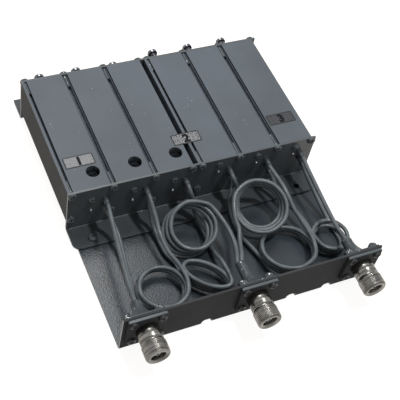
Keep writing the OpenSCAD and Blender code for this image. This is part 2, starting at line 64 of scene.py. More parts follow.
# The view of the photograph: a long lens from above the front left corner. The eye's place, in
# metres, and the camera's three axes were fitted to the corners of the block, the tray and the
# jack flanges.
eye = (-0.22495, -0.33323, 0.50822)
right, up = (0.90731, -0.39115, 0.15426), (0.22756, 0.76530, 0.60211)
back = (-0.35357, -0.51120, 0.78337)
lens, film_w = 83.57, 36


def placed(name, data):
    """A new object in the scene that holds the given mesh, camera or lamp."""
    obj = bpy.data.objects.new(name, data)
    bpy.context.scene.collection.objects.link(obj)
    return obj


def pose(x_axis, y_axis, z_axis, at):
    """The matrix that puts an object at a point with its own axes along the three given ones."""
    return Matrix([(x_axis[i], y_axis[i], z_axis[i], at[i]) for i in range(3)] + [(0, 0, 0, 1)])


camera = placed("photo_camera", bpy.data.cameras.new("photo_camera"))
camera.data.lens, camera.data.sensor_width = lens, film_w
camera.matrix_world = pose(right, up, back, eye)
bpy.context.scene.camera = camera


# Coaxial cables: thin double-screened coax with a smooth grey fluoropolymer jacket. Each runs
# from a crimp sleeve on the front plate to the next cell or to a jack's hood, and its spare
# length is wound into a loose coil of two or three turns in the tray's bay.
jacket_d, jacket_sides, path_steps = 3.0, 14, 5
weld = 0.002 * MM  # points of a mesh closer than this are one point
panel_x = np.array([-89.2, -60.1, -31.0, 1.5, 30.6, 59.7])  # left edges of the cells' panels
sleeve_x = panel_x + np.array([[21.5, 20.9, 20.1, 20.3, 20.0, 17.4],
                               [21.5, 21.5, 21.5, 21.5, 21.5, 18.4]])  # upper row, lower row
sleeve_in, sleeve_z = 2.2, (28.0, 21.5)  # where a cable starts in y, and the height of each row
jack_x, jack_z, hood_end = (-74.8, -0.2, 76.7), 21.2, -83.5
pair_x = 1.55  # the middle hood takes two cables, each this far beside its middle


def unit(v):
    """The vector divided by its length, for one vector or for a row of them."""
    v = np.asarray(v, float)
    return v / np.linalg.norm(v, axis=-1, keepdims=True)


def coil(centre, radii, turn, normal, step, start, turns, less=0.0):
    """Points of a leaning coil, eight to a turn, from the angle start: an ellipse with its long
    axis at turn degrees in the plane of normal, moved by step and made smaller by the share less
    with each turn. With a negative number of turns it winds the other way."""
    per_turn, lean = 8, math.radians(turn)
    a = unit(np.cross((0, 1, 0), normal))
    b = np.cross(unit(normal), a)
    p = a * math.cos(lean) + b * math.sin(lean)
    q = b * math.cos(lean) - a * math.sin(lean)
    k = np.arange(round(per_turn * abs(turns)) + 1)[:, None]
    t = np.radians(start + math.copysign(360 / per_turn, turns) * k - turn)
    return (np.array(centre) + np.array(step) * k / per_turn
            + (1 - less * k / per_turn) * (p * radii[0] * np.cos(t) + q * radii[1] * np.sin(t)))


def leave(cell, row):
    """The straight start of a cable in the upper (0) or lower (1) sleeve of a cell."""
    x, z = sleeve_x[row][cell], sleeve_z[row]
    return [(x, sleeve_in, z), (x, -3, z), (x, -7, z - 0.3)]


def arrive(cell, row):
    """The straight end of a cable in a cell's sleeve: its start, turned round."""
    return leave(cell, row)[::-1]


def hood_entry(jack, side=0.0, start=-75):
    """The straight end of a cable in a jack's hood, from y = start, beside its middle by side."""
    x = jack_x[jack] + side
    return [(x, start, jack_z), (x, hood_end, jack_z)]


def smooth(points, steps):
    """The Catmull-Rom curve through all points, with that many steps between two of them."""
    p = np.concatenate([points[:1], points, points[-1:]])
    a, b, c, d = (p[i:len(p) - 3 + i, None] for i in range(4))
    t = (np.arange(steps) / steps)[None, :, None]
    curve = 0.5 * (2 * b + (c - a) * t + (2 * a - 5 * b + 4 * c - d) * t**2
                   + (3 * b - a - 3 * c + d) * t**3)
    return np.concatenate([curve.reshape(-1, 3), points[-1:]])


routes = {
    "cable_low_jack": [
        leave(0, 0), [(-68.7, -14, 27), (-70.7, -30, 25.4), (-72.8, -48, 23.6), (-74.4, -64, 22)],
        hood_entry(0)],
    "cable_cells_12": [
        leave(0, 1), [(-66, -12, 16.5), (-64.6, -20, 12.5), (-65.8, -35, 8.5), (-67.4, -50, 5.8)],
        coil((-52.5, -65, 5), (15.6, 15.4), 0, (0, 0, 1), (1, -0.5, 3.1), 180, 2.5),
        [(-35.4, -55, 13.6), (-38.6, -43, 14.2), (-39.6, -31, 16.6), (-39, -20, 21)],
        [(-39.2, -12, 25.6)], arrive(1, 0)],
    "cable_cells_23": [
        leave(1, 1), [(-38.6, -10.5, 17.5), (-38.2, -15, 10), (-37.8, -24, 5.6)],
        [(-37.2, -38, 4.6), (-34, -47, 4.6)],
        coil((-20.6, -64.4, 4.6), (16.5, 8.2), -45, (0, 0, 1), (0.5, -0.4, 3), 150, 2.5),
        [(-6.0, -60, 10.6), (-6.2, -50, 6.6), (-6.2, -40, 4.6), (-6, -28, 4.8)],
        [(-6.4, -18, 7), (-8.4, -11.5, 14), (-9.1, -9.1, 18)], arrive(2, 1)],
    "cable_cell_3_antenna": [
        leave(2, 0), [(-10.4, -10.4, 25), (-8.6, -13, 19), (-7.4, -17, 13.5), (-6, -22.5, 11.8)],
        coil((-20.5, -29.6, 10), (16, 16), 0, (-0.12, -0.38, 0.92), (2, -0.7, 3.1), 0, -2.875),
        [(0.6, -26.5, 22.4), (4.8, -39, 18.4), (4.4, -52, 18.4), (1.2, -62, 20.2)],
        hood_entry(1, -pair_x, -70)],
    "cable_antenna_cell_4": [
        hood_entry(1, pair_x, -70)[::-1], [(4.6, -62, 20), (8.4, -52, 18.4), (11.8, -43, 18.8)],
        coil((32.4, -33.1, 22), (19.4, 19.4), 0, (-0.1, -0.32, 0.94), (1, 2, -2.9), 180, -3, 0.08),
        [(22.6, -20.5, 12.6), (24.6, -14.5, 15.5), (24.6, -11.2, 20), (22.6, -9.2, 25)],
        arrive(3, 0)],
    "cable_cells_45": [
        leave(3, 1), [(21.2, -10.8, 16.5), (19, -15.5, 9.5), (17.6, -26, 5.2)],
        [(17.6, -40, 4.4), (20.6, -52, 4.6)],
        coil((41.9, -62.6, 4.9), (18.2, 18.4), 0, (-0.02, 0.1, 0.99), (0, 0, 3), 180, 2.5),
        [(58.6, -48, 14.6), (55.6, -39, 18.6), (54.4, -32, 22.4), (53.2, -23, 25.4)],
        [(51.4, -12.5, 27.2)], arrive(4, 0)],
    "cable_cells_56": [
        leave(4, 1), [(53.6, -11.5, 16.5), (55.6, -18, 11.6), (59, -31, 10.6), (62, -46, 10.8)],
        coil((75.9, -60.5, 10.9), (12.9, 13.2), 0, (0, 0, 1), (-0.6, -0.5, -3.1), 180, 2.5, 0.1),
        [(83.6, -51, 3.2), (82, -39, 7), (80.2, -24, 13), (78.8, -13, 18)], arrive(5, 1)],
    "cable_high_jack": [
        leave(5, 0), [(76.8, -16, 26.2), (76.2, -32, 24.6), (75.6, -50, 23), (75.6, -64, 21.8)],
        hood_entry(2)],
}


def linear(code):
    """An sRGB hex colour turned to linear: c / 12.92 below 0.04045, else
    ((c + 0.055) / 1.055) ^ 2.4."""
    c = np.array([int(code[i:i + 2], 16) / 255 for i in (1, 3, 5)])
    return (*np.where(c <= 0.04045, c / 12.92, ((c + 0.055) / 1.055) ** 2.4), 1.0)


def add(tree, kind, inputs=None, stops=(), onto=None, **settings):
    """One node of that kind: settings are its properties, inputs are values or the outputs to
    link, stops are a ramp's places and hex colours, and onto is the socket that its first output
    in use is linked to."""
    made = tree.nodes.new(kind)
    for name, value in settings.items():
        setattr(made, name, value)
    for name, value in (inputs or {}).items():
        if isinstance(value, bpy.types.NodeSocket):
            tree.links.new(value, made.inputs[name])
        else:
            made.inputs[name].default_value = value
    for i, (position, code) in enumerate(stops):
        made.color_ramp.elements[i].position = position
        made.color_ramp.elements[i].color = linear(code)
    if onto is not None:
        tree.links.new(next(out for out in made.outputs if out.enabled), onto)
    return made


def finish(name, **sockets):
    """A new material with a Principled shader, its constants set on the shader's own sockets."""
    made = bpy.data.materials.new(name)
    made.use_nodes = True
    shader = made.node_tree.nodes["Principled BSDF"]
    for socket, value in sockets.items():
        shader.inputs[socket.replace("_", " ")].default_value = value
    return made, made.node_tree, shader


def mottle(tree, shader, low, high, scale, detail, place=None):
    """The shader's colour drifts between two hex shades as a noise goes from 0.35 to 0.65. Places
    are in metres, so a scale of s gives patches of about 1000 / s millimetres. Returns the place
    and the noise."""
    place = place or add(tree, "ShaderNodeTexCoord").outputs["Object"]
    noise = add(tree, "ShaderNodeTexNoise", {"Vector": place, "Scale": scale, "Detail": detail})
    add(tree, "ShaderNodeValToRGB", {"Fac": noise.outputs["Fac"]}, [(0.35, low), (0.65, high)],
        shader.inputs["Base Color"])
    return place, noise.outputs["Fac"]


# Fluoropolymer jacket, extruded over a braid: smooth and slippery, with the braid's 1.2 mm
# diamonds just showing through and long faint streaks of handling dirt.
jacket, tree, shader = finish("fluoropolymer_jacket", Roughness=0.38, IOR=1.38,
                              Coat_Weight=0.1, Coat_Roughness=0.12)
along = add(tree, "ShaderNodeUVMap", uv_map="along").outputs["UV"]
mottle(tree, shader, "#4c5256", "#5f6669", 90.0, 3.0, along)
braid_scale = 265.0
mirror = add(tree, "ShaderNodeMapping", {"Vector": along, "Scale": (-1.0, 1.0, 1.0)})
strands = [add(tree, "ShaderNodeTexWave", {"Vector": lay, "Scale": braid_scale},
               bands_direction="DIAGONAL").outputs["Fac"]
           for lay in (along, mirror.outputs["Vector"])]
braid = add(tree, "ShaderNodeMath", dict(enumerate(strands)), operation="MAXIMUM")
add(tree, "ShaderNodeBump", {"Height": braid.outputs[0], "Strength": 0.12, "Distance": 0.06 * MM},
    onto=shader.inputs["Normal"])


def grid_faces(rows, columns, around):
    """Quads between neighbouring points of a grid; around joins the last column to the first."""
    r, c = np.arange(rows - 1)[:, None], np.arange(columns if around else columns - 1)[None]
    a, b = r * columns + c, r * columns + (c + 1) % columns
    return np.stack([a, b, b + columns, a + columns], -1).reshape(-1, 4)


def dressed(name, mesh, material, stands_for, body, crease):
    """The object of a mesh that is smooth but for the edges sharper than crease degrees. It gets
    its finish, rides on its body and stands for its solids."""
    mesh.polygons.foreach_set("use_smooth", np.ones(len(mesh.polygons), bool))
    mesh.set_sharp_from_angle(angle=math.radians(crease))
    mesh.materials.clear()
    mesh.materials.append(material)
    obj = placed(name, mesh)
    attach(obj, body)
    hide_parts(*stands_for)
    return obj


def piece(name, parts, material, stands_for, body="housing_block", crease=35, uv=None):
    """One object from (points, faces) parts in millimetres. Seams and poles are welded and faces
    turned outwards. uv holds a pair for each point, where a pattern follows the surface."""
    first = np.cumsum([0] + [p.size // 3 for p, _ in parts])
    points = np.concatenate([p.reshape(-1, 3) for p, _ in parts]) * MM
    faces = np.concatenate([f + k for (_, f), k in zip(parts, first)])
    mesh = bpy.data.meshes.new(name)
    mesh.from_pydata(points.tolist(), [], faces.tolist())
    if uv is not None:
        layer = mesh.uv_layers.new(name="along")
        layer.data.foreach_set("uv", uv[faces].astype(np.float32).ravel())
    made = bmesh.new()
    made.from_mesh(mesh)
    bmesh.ops.remove_doubles(made, verts=made.verts, dist=weld)
    bmesh.ops.recalc_face_normals(made, faces=made.faces)
    made.to_mesh(mesh)
    made.free()
    return dressed(name, mesh, material, stands_for, body, crease)


def tube(path, radius, sides):
    """A round tube along the path: at each point a circle in the plane across the path, measured
    from the level direction beside it; both ends shrink to a pole."""
    tangent = unit(np.gradient(path, axis=0))
    side = unit(np.cross(tangent, (0, 0, 1)))
    top = np.cross(side, tangent)
    t = np.linspace(0, 2 * math.pi, sides, endpoint=False)[None, :, None]
    rings = path[:, None] + radius * (side[:, None] * np.cos(t) + top[:, None] * np.sin(t))
    ends = [np.repeat(path[i][None, None], sides, 1) for i in (0, -1)]
    return np.concatenate([ends[0], rings, ends[1]]), grid_faces(len(path) + 2, sides, True)


for name, stretches in routes.items():
    path = smooth(np.concatenate([np.array(s, float) for s in stretches]), path_steps)
    run = np.concatenate([[0, 0], np.cumsum(np.linalg.norm(np.diff(path, axis=0), axis=1))])
    run = np.append(run, run[-1]) * MM
    round_it = np.linspace(0, math.pi * jacket_d, jacket_sides, endpoint=False) * MM
    uv = np.stack(np.meshgrid(run, round_it, indexing="ij"), -1).reshape(-1, 2)
    piece(name + "_jacket", [tube(path, jacket_d / 2, jacket_sides)], jacket,
          [name], uv=uv)


# Tray: one folded steel sheet with a waist under the housings and half-round notches at the
# foot of its front wall. It has thick grey hammered paint, whose droplets flow to shiny
# dimples under 1 mm across; the wall's outside and the jack flanges' fronts are darker and
# duller, which is painted shade.
wall_y, wall_t, near_face = -93.6, 1.5, 0.05
faces_up = 0.5  # the least z of a normal that counts as facing up
hammered, tree, shader = finish("hammered_paint_on_steel", Roughness=0.22, IOR=1.5,
                                Specular_IOR_Level=0.3)
place, _ = mottle(tree, shader, "#2d3338", "#383f45", 28.0, 5.0)
dimples = add(tree, "ShaderNodeTexVoronoi", {"Vector": place, "Scale": 1150.0, "Smoothness": 0.5},
              feature="SMOOTH_F1")
flow = add(tree, "ShaderNodeTexNoise",
           {"Vector": place, "Scale": 700.0, "Detail": 3.0, "Roughness": 0.6})
skin = add(tree, "ShaderNodeMath", {0: dimples.outputs["Distance"], 1: flow.outputs["Fac"]},
           operation="ADD")
add(tree, "ShaderNodeBump", {"Height": skin.outputs[0], "Strength": 0.3, "Distance": 0.18 * MM},
    onto=shader.inputs["Normal"])

# The dark copy for the wall's outside and top edge and the flanges' fronts: dark and dull, with
# faint clouds; the darkness is painted shade.
front_face_shade, tree, shader = finish("front_faces_in_painted_shade", Roughness=0.6, IOR=1.5, Specular_IOR_Level=0.08)
mottle(tree, shader, "#3b3c3e", "#424345", 60.0, 4.0)


def eased(node, material, width, angle=30):
    """A copy of a CAD piece with its triangles joined to whole faces and its sharp edges eased by
    a narrow rounded bevel, as paint, tumbling or a die leaves them."""
    source = frame["nodes"][node]
    mesh = bpy.data.meshes.new(node + "_eased")
    made = bmesh.new()
    made.from_mesh(source.data)
    bmesh.ops.remove_doubles(made, verts=made.verts, dist=weld)
    bmesh.ops.dissolve_limit(made, angle_limit=math.radians(0.5), verts=made.verts,
                             edges=made.edges)
    made.to_mesh(mesh)
    made.free()
    body = next(b for b, e in frame["bodies"].items() if source.parent == e)
    obj = dressed(node + "_eased", mesh, material, [node], body, angle)
    bevel = obj.modifiers.new("eased_edges", "BEVEL")
    bevel.width, bevel.segments, bevel.limit_method = width * MM, 2, "ANGLE"
    bevel.angle_limit, bevel.harden_normals = math.radians(angle), True
    return obj


def face_facts(obj):
    """The middles, in millimetres, and the normals of an object's faces, a row for each."""
    faces = obj.data.polygons
    return np.array([face.center for face in faces]) / MM, np.array([f.normal for f in faces])


def recoat(obj, coats, kinds):
    """Other finishes on some faces: 0 in kinds keeps a face's own, 1 is the first of coats."""
    for coat in coats:
        obj.data.materials.append(coat)
    obj.data.polygons.foreach_set("material_index", kinds.astype(int))


tray = eased("connector_tray", hammered, width=0.3)
middles, facing = face_facts(tray)
outside = middles[:, 1] < wall_y + near_face
wall_top = (middles[:, 1] < wall_y + wall_t + 2 * near_face) & (facing[:, 2] > faces_up)
# The wall's outside and its top edge take the dark copy: painted shade.
recoat(tray, [front_face_shade], outside | wall_top)


# End plates: folded steel sheets that close the cells at both ends, each with a foot bent
# outwards and screwed through the tray. Grey lacquer, sprayed and baked, with a low sheen.
lacquer, tree, shader = finish("baked_grey_lacquer", Roughness=0.34, IOR=1.5,
                               Specular_IOR_Level=0.35)
place, _ = mottle(tree, shader, "#4c5155", "#565c60", 35.0, 4.0)
grain = add(tree, "ShaderNodeTexNoise", {"Vector": place, "Scale": 900.0, "Detail": 2.0})
add(tree, "ShaderNodeBump",
    {"Height": grain.outputs["Fac"], "Strength": 0.08, "Distance": 0.1 * MM},
    onto=shader.inputs["Normal"])

# The feet are duller and darker than the plates: painted shade.
foot_z = 4.5  # the faces of a plate below this are its foot
foot_shade_lacquer, tree, shader = finish("grey_lacquer_in_painted_shade", Roughness=0.4, IOR=1.5,
                                    Specular_IOR_Level=0.25)
mottle(tree, shader, "#34393c", "#3e4346", 50.0, 4.0)
for name in ("front_plate", "rear_plate"):
    plate = eased(name, lacquer, width=0.25)
    middles, _ = face_facts(plate)
    # The plates' feet take the darker copy: painted shade.
    recoat(plate, [foot_shade_lacquer], middles[:, 2] < foot_z)


# Cell housings: two lengths of one aluminium extrusion, three square bores each, with grooves
# between the cells that hold the screw channels. Sprayed satin grey; the die's faint lines
# run along the extrusion, 0.7 mm apart so that they show, and small chips show bright metal.
def chip(tree, shader, place, scale, detail, level, bare):
    """Bare metal of the given hex colour where a noise passes the level: its share is
    (noise - level) / 0.03, held between 0 and 1. Returns that share."""
    noise = add(tree, "ShaderNodeTexNoise", {"Vector": place, "Scale": scale, "Detail": detail})
    share = add(tree, "ShaderNodeMapRange", {"Value": noise.outputs["Fac"], "From Min": level,
                                             "From Max": level + 0.03}).outputs["Result"]
    coat = shader.inputs["Base Color"].links[0].from_socket
    add(tree, "ShaderNodeMix", {"Factor": share, "A": coat, "B": linear(bare)},
        onto=shader.inputs["Base Color"], data_type="RGBA")
    return share


satin, tree, shader = finish("satin_grey_on_extruded_aluminium", Roughness=0.4, IOR=1.5,
                             Specular_IOR_Level=0.14)
place, _ = mottle(tree, shader, "#575d62", "#5f666d", 18.0, 5.0)
chip(tree, shader, place, 520.0, 2.0, 0.76, "#b9bcbe")
drawn = add(tree, "ShaderNodeMapping", {"Vector": place, "Scale": (1.0, 0.02, 1.0)})
lines = add(tree, "ShaderNodeTexNoise",
            {"Vector": drawn.outputs["Vector"], "Scale": 1400.0, "Detail": 3.0})
add(tree, "ShaderNodeBump",
    {"Height": lines.outputs["Fac"], "Strength": 0.05, "Distance": 0.05 * MM},
    onto=shader.inputs["Normal"])

# The outer sides get a dull, brownish copy of the satin with no sheen: painted shade.
shaded, tree, shader = finish("satin_sides_in_painted_shade", Roughness=0.65, IOR=1.5,
                              Specular_IOR_Level=0.03)
mottle(tree, shader, "#606161", "#6b6c6b", 30.0, 5.0)

# Inside the cells the metal is bare; its walls are near black, which is painted shade.
cell_wall_shade, tree, shader = finish("bare_aluminium_in_painted_shade", Roughness=0.6, Specular_IOR_Level=0.1)
mottle(tree, shader, "#18191a", "#222325", 300.0, 4.0)

# The round screw channels and the gap between the housings are dull and nearly as light as the
# panels: painted light that lifts the shade in them.
channel_light, tree, shader = finish("painted_light_in_the_channels", Roughness=0.55,
                              Specular_IOR_Level=0.1)
mottle(tree, shader, "#5c636a", "#686f76", 120.0, 4.0)

# The grooves' walls and rails are matt and darker than the panels: painted shade.
groove_shade, tree, shader = finish("painted_shade_in_the_grooves", Roughness=0.6, Specular_IOR_Level=0.05)
mottle(tree, shader, "#41474d", "#4a5057", 90.0, 4.0)

# The faces are told apart by their places. Each groove holds a screw channel, at screw_x. An
# outer side lies further than side_reach from the block's middle, a wall under roof_z is
# inside a cell, and the gap's walls stand gap_half to each side of gap_x. The normal of an end
# face has more than the share across along y.
screw_x = (-90.1, -62.1, -33.0, -6.4, 0.6, 28.6, 57.7, 84.3)
walls_z, roof_z, groove_z, across = (12, 38.7), 37.8, (38, 39.4), 0.5
block_x, side_reach = -2.6, 85
gap_x, gap_half, gap_slack = -4.05, 1.85, 0.4
channel_r, channel_z, groove_r = 1.7, 34.8, 2.1
for housing in ("housing_low", "housing_high"):
    block = eased(housing, satin, width=0.3)
    middles, facing = face_facts(block)
    x, z = middles[:, 0], middles[:, 2]
    from_screw = np.abs(x[:, None] - np.array(screw_x)).min(axis=1)
    walls = (abs(facing[:, 1]) < across) & (z > walls_z[0]) & (z < walls_z[1])
    kinds = np.where(walls & (abs(x - block_x) > side_reach), 1, 0)
    kinds[walls & (kinds == 0) & (z < roof_z)] = 2
    kinds[walls & (from_screw < channel_r) & (z > channel_z)] = 3
    kinds[walls & (abs(abs(x - gap_x) - gap_half) < gap_slack)] = 3
    kinds[(from_screw < groove_r) & (z > groove_z[0]) & (z < groove_z[1])] = 4
    # The outer sides, the cells' walls and the grooves take painted shade; the channels and the
    # gap take painted light.
    recoat(block, [shaded, cell_wall_shade, channel_light, groove_shade], kinds)


# Screws of the end plates and the foot: pan heads with a crossed recess, zinc plated steel.
# They sit in the grooves' channels, in the cells' faces and in the feet, and were sprayed
# over with the plates; where the spray has chipped, small spots of bright zinc show.
def sprayed_over(name, low, high, level, bare):
    """Grey spray over plated metal: dull, with bare bright metal where chips pass the level."""
    made, tree, shader = finish(name, Roughness=0.38, IOR=1.5, Specular_IOR_Level=0.28)
    place, _ = mottle(tree, shader, low, high, 500.0, 4.0)
    share = chip(tree, shader, place, 640.0, 1.0, level, bare)
    tree.links.new(share, shader.inputs["Metallic"])
    return made


def axes(direction):
    """Two directions across a piece's axis, so that (a, b, axis) is a right-handed set."""
    n = np.array(direction, float)
    a = unit(np.cross((0, 0, 1) if abs(n[2]) < 0.9 else (0, 1, 0), n))
    return a, np.cross(n, a), n


def pan_screw(seat, direction, head_d, head_h, shank_d, length, recess="cross"):
    """Polar grid: the head is a flat dome, head_h (1 - 0.45 r^2) for r from 0 to 1, less a recess
    where a crossed or straight slot covers the point; below it the rim, the seat and the plain
    shank follow as rings."""
    sides, rows, dome_fall = 48, 12, 0.45
    slot_half, slot_depth, side_slope, end_slope = 0.17, 0.38, 0.05, 0.08
    reach = 0.55 if recess == "cross" else 1.2
    a, b, n = axes(direction)
    r = np.linspace(0, 1, rows)[:, None]
    t = np.linspace(0, 2 * math.pi, sides, endpoint=False)[None]
    x, y = r * np.cos(t), r * np.sin(t)
    slots = [(x, y), (y, x)] if recess == "cross" else [(x, y)]
    cut = np.max([np.clip((slot_half - abs(v)) / side_slope, 0, 1)
                  * np.clip((reach - abs(u)) / end_slope, 0, 1) for u, v in slots], axis=0)
    dome = head_h * (1 - dome_fall * r**2) - cut * slot_depth * head_h
    head_r, shank_r = head_d / 2, shank_d / 2
    rings = np.array([(head_r, 0.12 * head_h), (head_r * 0.97, 0), (shank_r, 0),
                      (shank_r, -length), (0, -length)])[:, :, None]
    px = np.concatenate([x * head_r, rings[:, 0] * np.cos(t)])[..., None]
    py = np.concatenate([y * head_r, rings[:, 0] * np.sin(t)])[..., None]
    ph = np.concatenate([dome, rings[:, 1] + 0 * t])[..., None]
    points = np.array(seat) + px * a + py * b + ph * n
    return points, grid_faces(rows + len(rings), sides, True)


zinc = sprayed_over("spray_over_zinc_plated_steel", "#43494c", "#50565a", 0.7, "#a9adb0")
front, rear, upwards = (0, -1, 0), (0, 1, 0), (0, 0, 1)
panel_w = 25.1
cell_x = panel_x + panel_w / 2
rear_face, foot_top, plate_rows = 103, 3, (13, 37)
# Each screw: across its head, the head's height, across the shank, and the shank's length.
plate_screw, foot_screw, cell_screw = (5.8, 2.1, 2.9, 12), (6, 2.2, 2.9, 2.7), (4.8, 1.7, 2.5, 4)
foot_at = ((-78.2, -11.8), (-78.2, 112.5), (75.6, 112.5))
cell_screw_z, cell_pin_z = [29] * 3 + [34] * 3, [18.4] * 3 + [27] * 3
for name, y, direction in (("front_plate_screws", 0, front),
                           ("rear_plate_screws", rear_face, rear)):
    piece(name + "_turned", [pan_screw((x, y, z), direction, *plate_screw)
                             for x in screw_x for z in plate_rows], zinc, [name])
piece("foot_screws_turned", [pan_screw((x, y, foot_top), upwards, *foot_screw)
                             for x, y in foot_at], zinc, ["foot_screws"])
piece("cell_screws_turned", [pan_screw((x, 0, z), front, *cell_screw)
                             for x, z in zip(cell_x, cell_screw_z)],
      zinc, ["cell_screws"])


# Solder pins: the end of each cell's wire comes through the plate and carries a bright bead
# of tin. Crimp sleeves: short drawn tubes, matte grey, that hold the screens of the cables.
def turned(profile, centre, direction, sides):
    """A profile of (radius, height) pairs swung about the axis through centre; a radius of 0 is a
    pole."""
    a, b, n = axes(direction)
    r, h = np.array(profile, float).T[:, :, None, None]
    t = np.linspace(0, 2 * math.pi, sides, endpoint=False)[None, :, None]
    points = np.array(centre) + h * n + r * (a * np.cos(t) + b * np.sin(t))
    return points, grid_faces(len(profile), sides, True)


tin, tree, shader = finish("solder_tin", Metallic=1.0, Roughness=0.34)
mottle(tree, shader, "#5f6365", "#9b9fa1", 1200.0, 3.0)
bead = [(0, 1.6), (0.45, 1.5), (0.8, 1.15), (1.0, 0.7), (1.0, 0.02), (1.0, -2.6), (0, -2.6)]
piece("cell_pins_soldered", [turned(bead, (x, 0, z), front, sides=24)
                             for x, z in zip(cell_x, cell_pin_z)],
      tin, ["cell_pins"])

crimp, tree, shader = finish("matte_plated_crimp", Metallic=0.4, Roughness=0.5)
mottle(tree, shader, "#3d4346", "#4d5356", 600.0, 3.0)
barrel = [(1.5, 6), (1.7, 6), (1.82, 5.85), (1.82, 4.4), (1.9, 4.25), (1.9, 1.2), (1.82, 1.05),
          (1.82, -3), (1.5, -3), (1.5, 6)]
piece("cable_sleeves_crimped", [turned(barrel, (x, 0, sleeve_z[row]), front, sides=28)
                                for row in (0, 1) for x in sleeve_x[row]],
      crimp, ["cable_sleeves"])


# Jacks: threaded coaxial sockets on square flanges. The turned brass shell is nickel plated,
# with the turning tool's rings in it, drawn 1.4 mm wide so that they show; its colours are kept
# darker than bright nickel, a painted reflection of a dark room. A darkened insulator and a
# tinned contact sit in the bore.
jacks = list(zip(("low", "antenna", "high"), jack_x))
nickel, tree, shader = finish("nickel_plated_brass", Metallic=0.95, Roughness=0.22)
place = add(tree, "ShaderNodeTexCoord").outputs["Object"]
rings = add(tree, "ShaderNodeMapping", {"Vector": place, "Scale": (0.1, 1.0, 0.1)})
mottle(tree, shader, "#54524e", "#8b8985", 700.0, 3.0, rings.outputs["Vector"])
bloom = add(tree, "ShaderNodeTexNoise", {"Vector": place, "Scale": 160.0, "Detail": 4.0})
add(tree, "ShaderNodeMapRange", {"Value": bloom.outputs["Fac"], "To Min": 0.2, "To Max": 0.27},
    onto=shader.inputs["Roughness"])
lines = add(tree, "ShaderNodeTexNoise",
            {"Vector": rings.outputs["Vector"], "Scale": 3000.0, "Detail": 2.0})
add(tree, "ShaderNodeBump",
    {"Height": lines.outputs["Fac"], "Strength": 0.015, "Distance": 0.04 * MM},
    onto=shader.inputs["Normal"])


def threaded(below, above, centre, direction, crest, depth, pitch, sides, rows=12):
    """A turned profile with a thread between its two halves: the radius is crest - depth * groove,
    and groove is a cosine of the height, one pitch further for each turn, cut flat at crest and
    root. The first and the last half pitch fade in and out."""
    a, b, n = axes(direction)
    start, end = below[-1][1], above[0][1]
    h = np.arange(start, end, pitch / rows)
    t = np.linspace(0, 2 * math.pi, sides, endpoint=False)
    turns = h[:, None] / pitch - t[None] / (2 * math.pi)
    groove = np.clip(0.5 - 0.75 * np.cos(2 * math.pi * turns), 0, 1)
    fade = np.clip(np.minimum(h - start, end - h) / (0.5 * pitch), 0, 1)[:, None]
    plain_below, plain_above = (np.repeat([[float(r)] for r, _ in half], sides, axis=1)
                                for half in (below, above))
    radius = np.concatenate([plain_below, crest - depth * (1 - fade + fade * groove),
                             plain_above])
    height = np.concatenate([[z for _, z in below], h, [z for _, z in above]])
    ring = a * np.cos(t)[:, None] + b * np.sin(t)[:, None]
    points = np.array(centre) + height[:, None, None] * n + radius[..., None] * ring[None]
    return points, grid_faces(len(height), sides, True)


bore_r, back_r, neck_r, relief_r, thread_r = 4.6, 5.8, 7.44, 7.09, 7.94
thread_depth, thread_pitch, shell_sides = 0.34, 1.06, 120
behind = [(bore_r, -3.1), (back_r - 0.2, -3.1), (back_r, -2.9), (back_r, 0.05), (6.4, 0.05),
          (6.4, 2.15), (neck_r - 0.15, 2.15), (neck_r, 2.35), (neck_r, 11.45),
          (neck_r - 0.15, 11.6), (relief_r, 11.7), (relief_r, 12.6), (7.3, 12.8)]
mouth = [(7.3, 21.15), (7.72, 21.25), (7.2, 21.95), (7.05, 22), (5.6, 22), (bore_r + 0.1, 21.1),
         (bore_r, 20.9), (bore_r, -3.1)]
for side, x in jacks:
    shell = threaded(behind, mouth, (x, wall_y, jack_z), front, thread_r, thread_depth,
                     thread_pitch, shell_sides)
    piece(f"jack_{side}_shell", [shell], nickel, [f"jack_{side}"], crease=60)


# Hoods and flanges: behind the wall, a square plate with a spun flare soldered on it, its neck
# closed round the cable; in front of it, the jack's square flange. Four screws hold both. All
# of it was sprayed grey with the tray's wall; the flanges' fronts take the wall's darker copy,
# painted shade, and their tops the lighter lacquer, painted light.
def rounded_outline(width, height, corner, count):
    """A rectangle with rounded corners, as points round its middle: the arc of each corner, put
    out to its place, and joined by the sides."""
    t = (np.arange(count) + 0.5) * 2 * math.pi / count
    return np.stack([(width / 2 - corner) * np.sign(np.cos(t)) + corner * np.cos(t),
                     (height / 2 - corner) * np.sign(np.sin(t)) + corner * np.sin(t)], -1)


def square_plate(centre, direction, thickness, bore, width=25.4, corner=1.2, ease=0.3, count=64):
    """Rings of a square plate with a round bore: the bore, the front edge eased, the back edge
    eased, and the bore again."""
    a, b, n = axes(direction)
    t = (np.arange(count) + 0.5) * 2 * math.pi / count
    hole = bore * np.stack([np.cos(t), np.sin(t)], -1)
    small = rounded_outline(width - 2 * ease, width - 2 * ease, corner - ease, count)
    full = rounded_outline(width, width, corner, count)
    rings = [(hole, thickness), (small, thickness), (full, thickness - ease), (full, ease),
             (small, 0), (hole, 0), (hole, thickness)]
    points = np.stack([np.array(centre) + p[:, :1] * a + p[:, 1:] * b + h * n for p, h in rings])
    return points, grid_faces(len(rings), count, True)


sprayed = sprayed_over("spray_over_plated_brass", "#363c3f", "#434a4e", 0.7, "#c9cccd")
flange_t, flange_bore = 2.2, 6.45
hood_seat, hood_t, hood_bore = wall_y + wall_t, 1.3, 6.0
flare_h, flare_in, flare_r, collar_r, metal_t = 13, 11, 5.9, 3.7, 0.8
